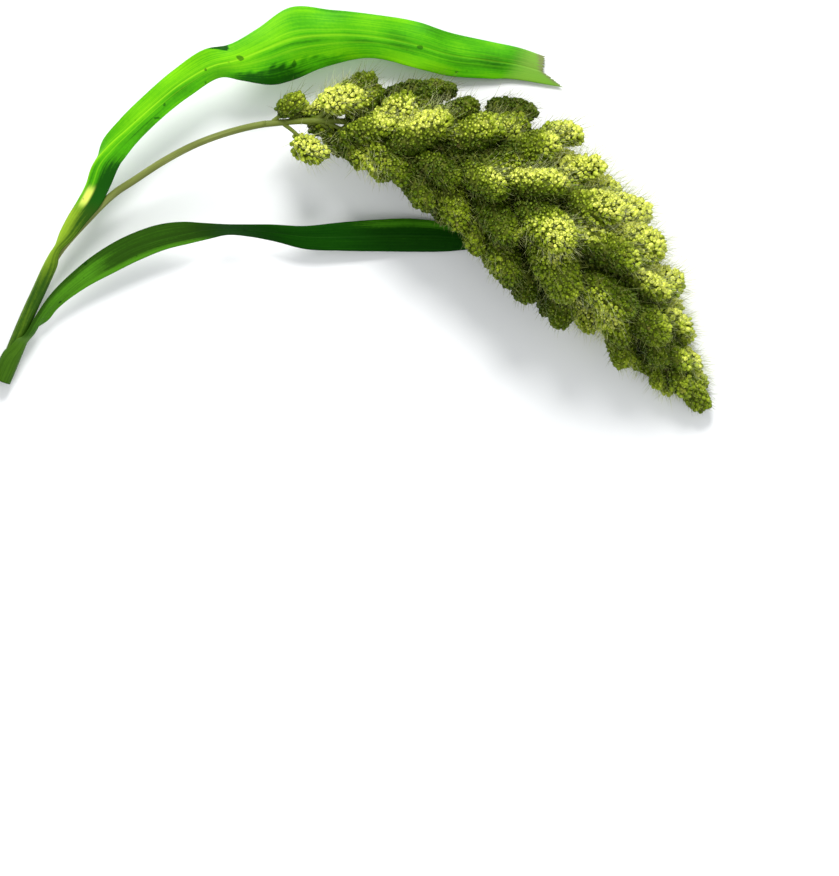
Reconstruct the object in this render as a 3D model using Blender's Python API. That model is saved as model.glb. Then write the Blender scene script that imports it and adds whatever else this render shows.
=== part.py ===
# Foxtail millet head, picked with its stalk and the two leaves of that stalk, lying on its side.
# Metres, +Z up. The head, stalk and leaves spread in X and Y, and the head's belly rests on z = 0.

import math

import bmesh
import bpy
import numpy as np
from mathutils import Matrix, Vector

# Lengths below are in millimetres, and this turns them into metres.
MM = 0.001

# Scale of the photograph: what one pixel spans on the plant, and the pixel over the part's origin.
MM_PER_PIXEL = 0.38
ORIGIN_PX = (350.9, 209.2)

# Stalk: radius at the cut and under the head, and the height of its centre line at both ends.
STALK_RADIUS_CUT = 1.6
STALK_RADIUS_HEAD = 1.25
STALK_HEIGHT_CUT = 4.05
STALK_HEIGHT_HEAD = 25.0
STALK_SIDES = 10
STALK_RINGS = 28
STALK_LINE_PX = (
    (0, 380), (36, 296.5), (60.5, 249), (71, 236.5), (87, 219.5), (102, 204), (115, 192.5), (134, 180),
    (160, 163), (193, 145.3), (226, 133), (252, 126.2), (266, 123.6),
)

# Clear gaps inside the two sheaths, which are looser than the real ones, and the leaves' thickness.
FLAG_SHEATH_GAP = 0.6
LOWER_SHEATH_GAP = 0.48
LEAF_THICKNESS = 0.6

# Colours of the pieces, as linear red, green and blue.
STALK_COLOUR = (0.16, 0.26, 0.03)
FLAG_LEAF_COLOUR = (0.09, 0.42, 0.02)
LOWER_LEAF_COLOUR = (0.02, 0.16, 0.02)
HEAD_COLOUR = (0.42, 0.55, 0.08)
STALK_ROUGHNESS = 0.5
LEAF_ROUGHNESS = 0.55
HEAD_ROUGHNESS = 0.7

# Distance to either side of a point over which a path's direction is taken.
SLOPE_STEP = 0.2

# Edges sharper than this are shaded as edges.
SHARP_ANGLE = math.radians(50)

# Sheaths: middle radius of each wall, how far each wraps round the stalk, and how it opens below the
# place, this far along the stalk, where it stops following it.
SHEATH_WRAP = math.radians(163)
SHEATH_WRAP_AT_COLLAR = math.radians(100)
SHEATH_OPENING = 9.0
SHEATH_STEP = 4.0
FLAG_SHEATH_RADIUS = STALK_RADIUS_CUT + FLAG_SHEATH_GAP + LEAF_THICKNESS / 2
FLAG_COLLAR_AT = 55.0
LOWER_SHEATH_RADIUS = FLAG_SHEATH_RADIUS + LEAF_THICKNESS + LOWER_SHEATH_GAP
LOWER_COLLAR_AT = 17.0
LEAF_CELLS_ACROSS = 10

# Stations from the end of each sheath's tube to the tip: (midrib px, height), (front edge px, height over the midrib),
# (back edge px, height over the midrib), bulge of the front half, bulge of the back half.
FLAG_BLADE = (
    ((59.5, 233, 12.3), (72, 239.5, 2.8), (70.5, 238.5, -2.6), 1.9, -1.9),
    ((67, 218, 13.1), (85, 223.5, 3.0), (83, 221.5, -2.6), 2.0, -2.0),
    ((76.5, 202, 13.9), (99, 207, 3.4), (98, 206, -2.6), 2.0, -2.0),
    ((85.5, 184, 15.2), (109, 188.5, 2.5), (107, 185.5, -2.6), 2.0, -2.0),
    ((91.5, 166, 17.2), (118, 168, 2.2), (99.5, 161, -3.8), 1.2, -1.6),
    ((107, 147, 19.0), (125, 157.5, 1.2), (101.5, 142, -2.6), 0.6, -0.6),
    ((128, 128, 20.6), (139, 140, 0.4), (119.7, 119, -1.2), 0.4, 0.2),
    ((154, 105, 21.6), (163.5, 116.5, -0.8), (143, 96, -0.6), 0.3, 0.5),
    ((183, 82, 22.2), (191.3, 94.8, -1.6), (172.8, 70.2, -0.6), 0.3, 0.6),
    ((215, 65, 22.2), (222.5, 77, -2.4), (206, 48.5, 0.4), 0.4, 0.2),
    ((236, 60, 21.6), (241, 80.2, -3.0), (228, 44.5, 0.2), 0.5, 0.2),
    ((264, 49, 20.4), (271, 84.5, -4.4), (257, 28.5, -0.8), 1.2, 0.6),
    ((290, 39, 18.8), (291.5, 80, -6.0), (287, 8, -1.8), 1.6, 1.0),
    ((330, 34.5, 15.8), (325, 66.5, -4.6), (332, 9.5, -1.6), 1.2, 0.8),
    ((370, 36, 12.6), (367, 57.5, -1.6), (371, 13.5, -1.4), 0.6, 0.8),
    ((420, 45.5, 8.8), (419, 68.4, -1.4), (420, 21.8, -1.2), 0.6, 0.6),
    ((449, 54, 6.6), (447, 75, -1.2), (448, 31.2, -1.0), 0.5, 0.5),
    ((491, 60, 4.0), (489, 78, -1.0), (491, 40.8, -0.8), 0.4, 0.4),
    ((524, 65.5, 2.6), (522, 79.6, -0.8), (524, 48.2, -0.6), 0.3, 0.3),
    ((540, 70, 2.1), (560, 86, -0.8), (542, 54.5, -0.5), 0.2, 0.2),
)
LOWER_BLADE = (
    ((34, 333, 6.8), (23.5, 335, 4.0), (24.5, 333, -3.9), 2.4, -2.4),
    ((42, 319, 8.0), (34.5, 316.5, 2.8), (45.5, 321.5, -2.4), 0.8, -0.8),
    ((52, 306, 8.9), (45.2, 300.2, 2.0), (56, 309.5, -2.2), 0.4, -0.6),
    ((80, 281, 10.2), (72.5, 271.5, 1.4), (85, 287.6, -1.6), 0.2, 0.1),
    ((108, 262, 11.2), (100.5, 249.8, 1.0), (114, 272.2, -1.8), 0.3, 0.4),
    ((136, 247, 11.8), (129.6, 234, 0.8), (139.5, 259.6, -1.8), 0.3, 0.5),
    ((161, 239, 12.0), (157, 224.5, 1.0), (164, 249.6, -2.0), 0.3, 0.5),
    ((186, 233.4, 12.0), (183, 221.5, 2.0), (188, 243.5, -2.6), 0.2, 0.3),
    ((206, 230, 11.8), (204, 222.8, 3.0), (207, 239, -3.4), 0.1, 0.1),
    ((226, 229, 11.4), (225, 224, 3.6), (227, 234.6, -3.8), 0.0, 0.0),
    ((248, 230, 10.8), (246, 224.2, 3.2), (249, 236.2, -3.4), 0.0, 0.1),
    ((274, 232.4, 9.8), (272, 224.2, 2.2), (275, 241.2, -2.4), 0.2, 0.2),
    ((302, 236, 8.4), (301, 225.6, 1.2), (303, 248.4, -1.6), 0.3, 0.3),
    ((341, 236.6, 6.4), (340, 222, 0.2), (342, 250.4, -1.0), 0.4, 0.4),
    ((380, 236, 4.5), (379, 219, -0.4), (381, 251, -0.8), 0.4, 0.4),
    ((414, 236, 3.1), (413, 218.2, -0.6), (415, 251.4, -0.8), 0.4, 0.4),
    ((446, 237, 2.1), (445, 222.4, -0.6), (447, 251, -0.7), 0.3, 0.3),
    ((471, 239.6, 1.5), (470, 231, -0.4), (471, 248.6, -0.5), 0.2, 0.2),
    ((492, 243, 1.0), (492, 240.6, -0.1), (492, 245.4, -0.1), 0.0, 0.0),
)
FLAG_ROWS = 38
LOWER_ROWS = 32

# Head: centre line with its height, and the outline's half width at each of those points.
HEAD_LINE = (
    (300, 121, 25.0, 5.0), (350, 122, 25.2, 15.0), (405, 136, 25.6, 22.5), (460, 159, 26.2, 26.2),
    (515, 190, 27.2, 30.0), (562, 226, 28.0, 32.2), (602, 266, 25.2, 27.7), (636, 305, 18.9, 21.2),
    (662, 346, 11.4, 12.9), (687, 383, 7.3, 8.3), (709, 413, 4.4, 2.4),
)
HEAD_DEPTH_RATIO = 0.92
CORE_RATIO = 0.5
CORE_SIDES = 14
CORE_RINGS = 22
CORE_SHORT_OF_TIP = 10.0
RACHIS_START = (267.2, 123.4, 25.0)
RACHIS_RADIUS = 1.2

# Lobes of grains: they start this far along the head, and turn round it by the golden angle.
LOBE_START = 22.0
LOBE_END = 188.0
LOBE_SPACING = 4.45
GOLDEN_ANGLE = math.radians(137.508)
LOBE_RINGS = 5
LOBE_SEGMENTS = 9
LOBE_BLUNTNESS = 0.75
GRAIN_RELIEF = 0.2
RANDOM_SEED = 11

# A lobe's half length: a base, a share of the head's half width there, and a limit. Its half width is a
# share of that, and it leans out from the head's line by degrees at the foot and at the tip.
LOBE_LENGTH_BASE = 4.6
LOBE_LENGTH_SHARE = 0.36
LOBE_LENGTH_MOST = 14.5
LOBE_LENGTH_SPREAD = 0.2
LOBE_WIDTH_SHARES = (0.42, 0.52)
LOBE_LEAN_FOOT = 54.0
LOBE_LEAN_TIP = 20.0
LOBE_LEAN_SPREAD = 0.15
LOBE_TURN_START = 0.6
LOBE_TURN_SPREAD = 0.3
LEAST_HALF_WIDTH = 5.0

# Lobes on top and below keep this share of their lean, because they lie pressed along the head, and
# those on top swing towards the outside of the arch.
LOBE_FLATTEN = 0.45
LOBE_SWING = 0.4
LOBE_SWING_SPREAD = 0.35

# How far a lobe's outside stands from the head's line, as a share of the head's half width there, a bit
# more on the inside of the arch, and the least share of it for the lobe's middle.
LOBE_REACH_SHARES = (0.92, 1.03)
LOBE_REACH_SWING = 0.06
LOBE_LEAST_REACH = 0.3

# The lobe that closes the head's tip: its place along the head, half length and half width.
TIP_LOBE = (195.0, 7.6, 4.6)

# The lobes at the foot of the head, which stand apart, and three on its outer edge: centre px and height,
# long axis px, half length, half width, and the px where the stalk of each leaves the rachis.
FOOT_LOBES = (
    ((291, 105, 26.5), (14, -9), 6.0, 4.0, (273, 121.2)),
    ((309, 149, 24.0), (14, 8), 7.0, 4.3, (279, 120.6)),
    ((352, 92, 27.0), (28, -20), 11.0, 5.0, (318, 118)),
    ((306, 113, 21.0), (20, -2), 6.0, 2.8, (290, 120)),
    ((322, 128, 21.5), (16, 5), 5.5, 2.8, (304, 122)),
    ((334, 102, 19.0), (20, -10), 8.0, 4.8, (316, 119)),
    ((343, 99, 32.0), (22, -4), 8.0, 5.0, (324, 120)),
    ((362, 144, 27.0), (22, 14), 9.6, 5.8, (324, 121)),
    ((343, 144, 20.5), (20, 13), 7.8, 4.8, (318, 121)),
    ((386, 126, 30.0), (26, 4), 9.0, 5.6, (350, 122)),
    ((420, 93, 22.0), (30, -3), 14.0, 5.0, (398, 134)),
    ((512, 109, 22.0), (28, 4), 10.0, 4.4, (478, 150)),
    ((561, 134, 28.0), (24, 2), 8.0, 4.6, (528, 172)),
)
FOOT_STALK_RADIUS = 0.9
FOOT_STALK_SIDES = 6

# Side of the block that presses the belly flat, in metres.
GROUND_SIDE = 0.4


def place(px, py, height):
    """The point of the part that a pixel shows, at a height over the surface it lies on."""
    return np.array([
        (px - ORIGIN_PX[0]) * MM_PER_PIXEL,
        (ORIGIN_PX[1] - py) * MM_PER_PIXEL,
        height,
    ])


def hermite(stations, values, at):
    """A cubic curve through the values, whose slope at a station comes from its neighbours."""
    stations = np.asarray(stations, float)
    values = np.asarray(values, float)
    slopes = np.gradient(values, stations, axis=0)
    cell = np.clip(np.searchsorted(stations, at, side="right") - 1, 0, len(stations) - 2)
    width = stations[cell + 1] - stations[cell]
    t = (at - stations[cell]) / width
    shape = t.shape + (1,) * (values.ndim - 1)
    t = t.reshape(shape)
    width = width.reshape(shape)
    return (
        (2 * t**3 - 3 * t**2 + 1) * values[cell]
        + (t**3 - 2 * t**2 + t) * width * slopes[cell]
        + (3 * t**2 - 2 * t**3) * values[cell + 1]
        + (t**3 - t**2) * width * slopes[cell + 1]
    )


def chord_lengths(points):
    steps = np.linalg.norm(np.diff(points, axis=0), axis=1)
    return np.concatenate([[0.0], np.cumsum(steps)])


def unit(vectors):
    return vectors / np.linalg.norm(vectors, axis=-1, keepdims=True)


class Path:
    """A smooth line through points, with a frame: along it, to its right in plan, and over it."""

    def __init__(self, points):
        self.points = np.asarray(points, float)
        self.stations = chord_lengths(self.points)
        self.length = self.stations[-1]

    def at(self, distance):
        distance = np.atleast_1d(distance)
        point = hermite(self.stations, self.points, distance)
        ahead = hermite(self.stations, self.points, np.minimum(distance + SLOPE_STEP, self.length))
        behind = hermite(self.stations, self.points, np.maximum(distance - SLOPE_STEP, 0.0))
        along = unit(ahead - behind)
        right = unit(np.cross(along, (0.0, 0.0, 1.0)))
        over = np.cross(right, along)
        return point, along, right, over


def stalk_path():
    flat = np.array([place(px, py, 0.0) for px, py in STALK_LINE_PX])
    rise = chord_lengths(flat) / chord_lengths(flat)[-1]
    flat[:, 2] = STALK_HEIGHT_CUT + (STALK_HEIGHT_HEAD - STALK_HEIGHT_CUT) * rise
    return Path(flat)


def head_path():
    return Path([place(px, py, height) for px, py, height, _ in HEAD_LINE])


def new_object(name, verts, faces):
    """An object from points in millimetres."""
    mesh = bpy.data.meshes.new(name)
    mesh.from_pydata((np.asarray(verts) * MM).tolist(), [], faces)
    obj = bpy.data.objects.new(name, mesh)
    bpy.context.scene.collection.objects.link(obj)
    return obj


def paint(obj, colour, roughness):
    material = bpy.data.materials.new(obj.name)
    material.use_nodes = True
    shader = material.node_tree.nodes["Principled BSDF"]
    shader.inputs["Base Color"].default_value = (*colour, 1.0)
    shader.inputs["Roughness"].default_value = roughness
    shader.inputs["Metallic"].default_value = 0.0
    obj.data.materials.clear()
    obj.data.materials.append(material)


def tube(path, distances, radii, sides):
    """Rings of points round a path and the faces between them, closed by a cap at both ends."""
    point, _, right, over = path.at(distances)
    angle = np.arange(sides) * 2 * math.pi / sides
    out = (
        np.cos(angle)[None, :, None] * right[:, None]
        + np.sin(angle)[None, :, None] * over[:, None]
    )
    verts = (point[:, None] + np.asarray(radii)[:, None, None] * out).reshape(-1, 3)
    faces = [list(range(sides))]
    last = (len(distances) - 1) * sides
    faces.append([last + i for i in reversed(range(sides))])
    for ring in range(len(distances) - 1):
        for i in range(sides):
            j = (i + 1) % sides
            low = ring * sides
            high = low + sides
            faces.append([low + i, high + i, high + j, low + j])
    return verts, faces


def make_stalk():
    path = stalk_path()
    distances = np.linspace(0.0, path.length, STALK_RINGS)
    radii = np.linspace(STALK_RADIUS_CUT, STALK_RADIUS_HEAD, STALK_RINGS)
    verts, faces = tube(path, distances, radii, STALK_SIDES)
    stalk = new_object("stalk", verts, faces)
    paint(stalk, STALK_COLOUR, STALK_ROUGHNESS)
    stalk.data.shade_smooth()
    stalk.data.set_sharp_from_angle(angle=SHARP_ANGLE)


def sheath_row(path, distance, radius, midrib_side, collar_at):
    """The wall of a sheath across the stalk: an arc whose middle is the leaf's midrib, and which opens
    smoothly towards the collar."""
    point, _, right, over = path.at(distance)
    open_share = max(0.0, 1 - (collar_at - distance) / SHEATH_OPENING)
    open_share = open_share**2 * (3 - 2 * open_share)
    wrap = SHEATH_WRAP + (SHEATH_WRAP_AT_COLLAR - SHEATH_WRAP) * open_share
    angle = np.linspace(-wrap, wrap, LEAF_CELLS_ACROSS + 1)
    return (
        point
        + radius * np.cos(angle)[:, None] * right * midrib_side
        + radius * np.sin(angle)[:, None] * over
    )


def blade_row(station):
    """One section of a blade: two half curves from the midrib to the back and the front edge."""
    (mid_x, mid_y, height), front, back, front_bulge, back_bulge = station
    mid = place(mid_x, mid_y, height)
    half = LEAF_CELLS_ACROSS // 2
    t = np.linspace(0.0, 1.0, half + 1)[:, None]
    halves = []
    for (px, py, rise), bulge in ((back, back_bulge), (front, front_bulge)):
        edge = place(px, py, height + rise)
        control = (mid + edge) / 2 + np.array([0.0, 0.0, bulge])
        halves.append((1 - t) ** 2 * mid + 2 * t * (1 - t) * control + t**2 * edge)
    return np.concatenate([halves[0][::-1], halves[1][1:]])


def make_leaf(name, stations, sheath_radius, collar_at, midrib_side, rows, colour):
    """A leaf as one surface from the cut to the tip, given its thickness along its normals."""
    path = stalk_path()
    closed_part = np.arange(0.0, collar_at - SHEATH_OPENING, SHEATH_STEP)
    opening_part = np.linspace(collar_at - SHEATH_OPENING, collar_at, 4)[1:]
    sections = [
        sheath_row(path, distance, sheath_radius, midrib_side, collar_at)
        for distance in np.concatenate([closed_part, opening_part])
    ]
    sections += [blade_row(station) for station in stations]
    sections = np.array(sections)
    along = chord_lengths(sections[:, LEAF_CELLS_ACROSS // 2])
    surface = hermite(along, sections, np.linspace(0.0, along[-1], rows))
    normal = unit(np.cross(np.gradient(surface, axis=0), np.gradient(surface, axis=1)))
    outer = surface + normal * LEAF_THICKNESS / 2
    inner = surface - normal * LEAF_THICKNESS / 2
    verts = np.concatenate([outer.reshape(-1, 3), inner.reshape(-1, 3)])
    faces = sheet_faces(rows, LEAF_CELLS_ACROSS + 1)
    leaf = new_object(name, verts, faces)
    paint(leaf, colour, LEAF_ROUGHNESS)
    recalculate_normals(leaf)
    leaf.data.shade_smooth()
    leaf.data.set_sharp_from_angle(angle=SHARP_ANGLE)


def sheet_faces(rows, columns):
    """Two grids of triangles split alike, and the strip that closes them all round the edge."""
    faces = []
    under = rows * columns
    for r in range(rows - 1):
        for c in range(columns - 1):
            a = r * columns + c
            b, d, e = a + 1, a + columns, a + columns + 1
            faces += [[a, b, e], [a, e, d]]
            faces += [[under + a, under + e, under + b], [under + a, under + d, under + e]]
    rim = [c for c in range(columns)]
    rim += [r * columns + columns - 1 for r in range(1, rows)]
    rim += [(rows - 1) * columns + c for c in range(columns - 2, -1, -1)]
    rim += [r * columns for r in range(rows - 2, 0, -1)]
    for a, b in zip(rim, rim[1:] + rim[:1]):
        faces += [[a, under + a, under + b], [a, under + b, b]]
    return faces


def recalculate_normals(obj):
    mesh = bmesh.new()
    mesh.from_mesh(obj.data)
    bmesh.ops.recalc_face_normals(mesh, faces=mesh.faces)
    mesh.to_mesh(obj.data)
    mesh.free()


def lobe_mesh():
    """A round-ended lobe of unit half length along X. Its rings are staggered, and every third point of
    them stands out as a grain."""
    verts = [(-1.0, 0.0, 0.0)]
    for ring in range(LOBE_RINGS):
        polar = math.pi * (ring + 1) / (LOBE_RINGS + 1)
        for segment in range(LOBE_SEGMENTS):
            turn = 2 * math.pi * (segment + ring / 2) / LOBE_SEGMENTS
            raised = (segment - ring // 2 - ring) % 3 == 0
            reach = 1.0 + (GRAIN_RELIEF if raised else -GRAIN_RELIEF / 3)
            radius = math.sin(polar) ** LOBE_BLUNTNESS * reach
            verts.append((-math.cos(polar), radius * math.cos(turn), radius * math.sin(turn)))
    verts.append((1.0, 0.0, 0.0))
    top = len(verts) - 1
    faces = []
    for segment in range(LOBE_SEGMENTS):
        beside = (segment + 1) % LOBE_SEGMENTS
        faces.append((0, 1 + beside, 1 + segment))
        low = 1 + (LOBE_RINGS - 1) * LOBE_SEGMENTS
        faces.append((top, low + segment, low + beside))
        for ring in range(LOBE_RINGS - 1):
            a = 1 + ring * LOBE_SEGMENTS
            b = a + LOBE_SEGMENTS
            faces.append((a + segment, a + beside, b + segment))
            faces.append((b + segment, a + beside, b + beside))
    mesh = bpy.data.meshes.new("lobe")
    mesh.from_pydata(verts, [], faces)
    return mesh


def head_lobes():
    """Centre, direction, half length, half width and spin of each lobe on the main part of the head."""
    path = head_path()
    random = np.random.default_rng(RANDOM_SEED)
    widths = np.array([half_width for *_, half_width in HEAD_LINE])
    found = []
    distance = LOBE_START
    turn = LOBE_TURN_START
    while distance < LOBE_END:
        share = distance / path.length
        half_width = hermite(path.stations, widths, np.array([distance]))[0]
        length = min(LOBE_LENGTH_MOST, LOBE_LENGTH_BASE + LOBE_LENGTH_SHARE * half_width)
        length *= random.uniform(1 - LOBE_LENGTH_SPREAD, 1 + LOBE_LENGTH_SPREAD)
        width = length * random.uniform(*LOBE_WIDTH_SHARES)
        lean = math.radians(LOBE_LEAN_FOOT + (LOBE_LEAN_TIP - LOBE_LEAN_FOOT) * share**3)
        lean *= random.uniform(1 - LOBE_LEAN_SPREAD, 1 + LOBE_LEAN_SPREAD)
        angle = turn + random.uniform(-LOBE_TURN_SPREAD, LOBE_TURN_SPREAD)
        point, along, right, over = (row[0] for row in path.at(distance))
        out = math.cos(angle) * right + math.sin(angle) * over
        reach = half_width * math.hypot(math.cos(angle), HEAD_DEPTH_RATIO * math.sin(angle))
        swing = LOBE_SWING + random.uniform(-1.0, 1.0) * LOBE_SWING_SPREAD
        in_plan = math.cos(angle) - swing * max(math.sin(angle), 0.0)
        sideways = in_plan * right + LOBE_FLATTEN * math.sin(angle) * over
        direction = unit(math.cos(lean) * along + math.sin(lean) * sideways)
        aligned = direction @ out
        proud = math.hypot(length * aligned, width * math.sqrt(1 - aligned**2))
        reach *= random.uniform(*LOBE_REACH_SHARES) + LOBE_REACH_SWING * math.cos(angle)
        spin = random.uniform(0.0, 2 * math.pi)
        centre = point + out * max(reach - proud, LOBE_LEAST_REACH * reach)
        found.append((centre, direction, length, width, spin))
        distance += LOBE_SPACING * length * width / (2 * math.pi * max(half_width, LEAST_HALF_WIDTH))
        turn += GOLDEN_ANGLE
    distance, length, width = TIP_LOBE
    point, along, _, _ = (row[0] for row in path.at(distance))
    found.append((point, along, length, width, 0.0))
    return found


def foot_lobes():
    found = []
    for number, (centre, axis, length, width, _) in enumerate(FOOT_LOBES):
        direction = unit(np.array([axis[0], -axis[1], 0.0]))
        found.append((place(*centre), direction, length, width, GOLDEN_ANGLE * number))
    return found


def lobe_objects(collection):
    mesh = lobe_mesh()
    for centre, direction, length, width, spin in head_lobes() + foot_lobes():
        obj = bpy.data.objects.new("lobe", mesh)
        turn = Vector(direction).to_track_quat("X", "Z").to_matrix().to_4x4()
        size = Matrix.Diagonal((length * MM, width * MM, width * MM, 1.0))
        obj.matrix_world = (
            Matrix.Translation(Vector(centre * MM)) @ turn @ Matrix.Rotation(spin, 4, "X") @ size
        )
        collection.objects.link(obj)


def foot_stalks(collection):
    for centre, _, _, _, root in FOOT_LOBES:
        start = place(*root, RACHIS_START[2])
        end = place(*centre)
        path = Path([start, end])
        ends = np.array([0.0, path.length])
        verts, faces = tube(path, ends, np.full(2, FOOT_STALK_RADIUS), FOOT_STALK_SIDES)
        stalk = new_object("foot stalk", verts, faces)
        bpy.context.scene.collection.objects.unlink(stalk)
        collection.objects.link(stalk)


def head_core():
    """The rachis and, round it, the packed middle of the head that the lobes are rooted in."""
    start = place(*RACHIS_START)
    path = Path([start] + [place(px, py, height) for px, py, height, _ in HEAD_LINE])
    widths = [RACHIS_RADIUS, RACHIS_RADIUS]
    widths += [half_width * CORE_RATIO for *_, half_width in HEAD_LINE[1:]]
    distances = np.linspace(0.0, path.length - CORE_SHORT_OF_TIP, CORE_RINGS)
    radii = np.maximum(hermite(path.stations, widths, distances), RACHIS_RADIUS)
    verts, faces = tube(path, distances, radii, CORE_SIDES)
    return new_object("seed_head", verts, faces)


def apply_boolean(obj, operation, solver, target):
    """Runs one Boolean on an object and keeps its result as the object's mesh."""
    modifier = obj.modifiers.new(operation.lower(), "BOOLEAN")
    modifier.operation = operation
    modifier.solver = solver
    if isinstance(target, bpy.types.Collection):
        modifier.operand_type = "COLLECTION"
        modifier.collection = target
    else:
        modifier.object = target
    graph = bpy.context.evaluated_depsgraph_get()
    result = bpy.data.meshes.new_from_object(obj.evaluated_get(graph))
    obj.modifiers.clear()
    obj.data = result


def fill_hollows(obj):
    """Keeps the one outer skin: drops sealed hollows, whose skins face inwards, and loose scraps."""
    mesh = bmesh.new()
    mesh.from_mesh(obj.data)
    bmesh.ops.triangulate(mesh, faces=mesh.faces)
    seen = set()
    skins = []
    for first in mesh.faces:
        if first in seen:
            continue
        seen.add(first)
        skin = [first]
        for face in skin:
            for edge in face.edges:
                for beside in edge.link_faces:
                    if beside not in seen:
                        seen.add(beside)
                        skin.append(beside)
        skins.append(skin)
    skins.sort(key=len)
    for skin in skins[:-1]:
        bmesh.ops.delete(mesh, geom=skin, context="FACES")
    mesh.to_mesh(obj.data)
    mesh.free()


def make_head():
    """Lobes, stalks and core joined as one solid, with the belly pressed flat where it lies."""
    head = head_core()
    repeats = bpy.data.collections.new("lobes")
    bpy.context.scene.collection.children.link(repeats)
    lobe_objects(repeats)
    foot_stalks(repeats)
    apply_boolean(head, "UNION", "MANIFOLD", repeats)
    for obj in list(repeats.objects):
        bpy.data.objects.remove(obj)
    bpy.data.collections.remove(repeats)
    surface = ground_cutter()
    apply_boolean(head, "DIFFERENCE", "MANIFOLD", surface)
    bpy.data.objects.remove(surface)
    fill_hollows(head)
    paint(head, HEAD_COLOUR, HEAD_ROUGHNESS)


def ground_cutter():
    """A block whose top is the surface that the head lies on."""
    mesh = bmesh.new()
    below = Matrix.Translation((0.0, 0.0, -GROUND_SIDE / 2))
    bmesh.ops.create_cube(mesh, size=GROUND_SIDE, matrix=below)
    data = bpy.data.meshes.new("ground")
    mesh.to_mesh(data)
    mesh.free()
    obj = bpy.data.objects.new("ground", data)
    bpy.context.scene.collection.objects.link(obj)
    obj.hide_render = True
    obj.display_type = "WIRE"
    return obj


def main():
    for obj in list(bpy.data.objects):
        bpy.data.objects.remove(obj, do_unlink=True)
    make_stalk()
    make_leaf(
        "flag_leaf", FLAG_BLADE, FLAG_SHEATH_RADIUS, FLAG_COLLAR_AT, -1, FLAG_ROWS, FLAG_LEAF_COLOUR
    )
    make_leaf(
        "lower_leaf", LOWER_BLADE, LOWER_SHEATH_RADIUS, LOWER_COLLAR_AT, 1, LOWER_ROWS, LOWER_LEAF_COLOUR
    )
    make_head()


main()
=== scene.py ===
import math

import bpy
import numpy as np
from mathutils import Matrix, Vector


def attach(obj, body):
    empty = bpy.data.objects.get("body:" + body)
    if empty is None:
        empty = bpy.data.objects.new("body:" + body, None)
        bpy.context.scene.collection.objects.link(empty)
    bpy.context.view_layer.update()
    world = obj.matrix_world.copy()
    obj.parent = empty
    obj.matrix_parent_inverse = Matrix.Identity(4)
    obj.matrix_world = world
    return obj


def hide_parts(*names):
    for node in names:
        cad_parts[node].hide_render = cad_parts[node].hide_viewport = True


# Foxtail millet head: grains and bristles on their lobes, the ribbed stalk and two sheathing leaves.
# Shapes are worked out in millimetres in the part's own frame, and meshes are made in metres.

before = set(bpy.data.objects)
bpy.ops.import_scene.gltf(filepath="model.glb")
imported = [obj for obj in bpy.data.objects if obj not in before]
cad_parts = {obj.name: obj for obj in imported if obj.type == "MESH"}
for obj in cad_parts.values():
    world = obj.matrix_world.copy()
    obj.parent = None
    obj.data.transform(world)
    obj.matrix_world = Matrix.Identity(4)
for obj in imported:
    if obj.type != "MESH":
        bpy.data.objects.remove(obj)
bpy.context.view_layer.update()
print("frame loaded:", sorted(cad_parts))

mm = 0.001
goldenAngle = math.radians(137.508)

photo = {
    "mmPerPixel": 0.38,
    "originPx": (350.9, 209.2),  # the pixel over the part's origin
    "sizePx": (839, 876),
    "cameraDistance": 12000.0,  # far away, so that low and high parts keep one scale
    "sharpHeight": 28.0,  # height over the floor where the scale holds
    "sensor": 36.0,
}


def place(px, py, height):
    # the point that a pixel shows, at a height over the floor
    x = (px - photo["originPx"][0]) * photo["mmPerPixel"]
    y = (photo["originPx"][1] - py) * photo["mmPerPixel"]
    return np.array([x, y, height])


def pixels(points):
    # the pixels that show points, seen from straight above
    px = points[..., 0] / photo["mmPerPixel"] + photo["originPx"][0]
    py = photo["originPx"][1] - points[..., 1] / photo["mmPerPixel"]
    return px, py


def smoothstep(low, high, values):
    # 0 before low and 1 past high, with a smooth cubic between; high may be the lower of the two
    share = np.clip((values - low) / (high - low), 0.0, 1.0)
    return share * share * (3 - 2 * share)


def bell(values, middle, half, power=2):
    # 1 in the middle and 1/e at a half on either side; a higher power flattens its top
    return np.exp(-(((values - middle) / half) ** power))


def turns(count):
    # equal steps of one whole turn
    return np.arange(count) * 2 * np.pi / count


def spokes(angles, first, second):
    # the direction at each angle between two directions that are square to each other
    return np.cos(angles)[..., None] * first + np.sin(angles)[..., None] * second


def unit(vectors):
    return vectors / np.maximum(np.linalg.norm(vectors, axis=-1, keepdims=True), 1e-9)


def hermite(stations, values, at):
    # a cubic curve through the values, whose slope at a station comes from its neighbours
    stations = np.asarray(stations, float)
    values = np.asarray(values, float)
    slopes = np.gradient(values, stations, axis=0)
    cell = np.clip(np.searchsorted(stations, at, side="right") - 1, 0, len(stations) - 2)
    width = stations[cell + 1] - stations[cell]
    t = (at - stations[cell]) / width
    shape = t.shape + (1,) * (values.ndim - 1)
    t = t.reshape(shape)
    width = width.reshape(shape)
    return (
        (2 * t**3 - 3 * t**2 + 1) * values[cell]
        + (t**3 - 2 * t**2 + t) * width * slopes[cell]
        + (3 * t**2 - 2 * t**3) * values[cell + 1]
        + (t**3 - t**2) * width * slopes[cell + 1]
    )


def chordLengths(points):
    steps = np.linalg.norm(np.diff(points, axis=0), axis=1)
    return np.concatenate([[0.0], np.cumsum(steps)])


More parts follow.
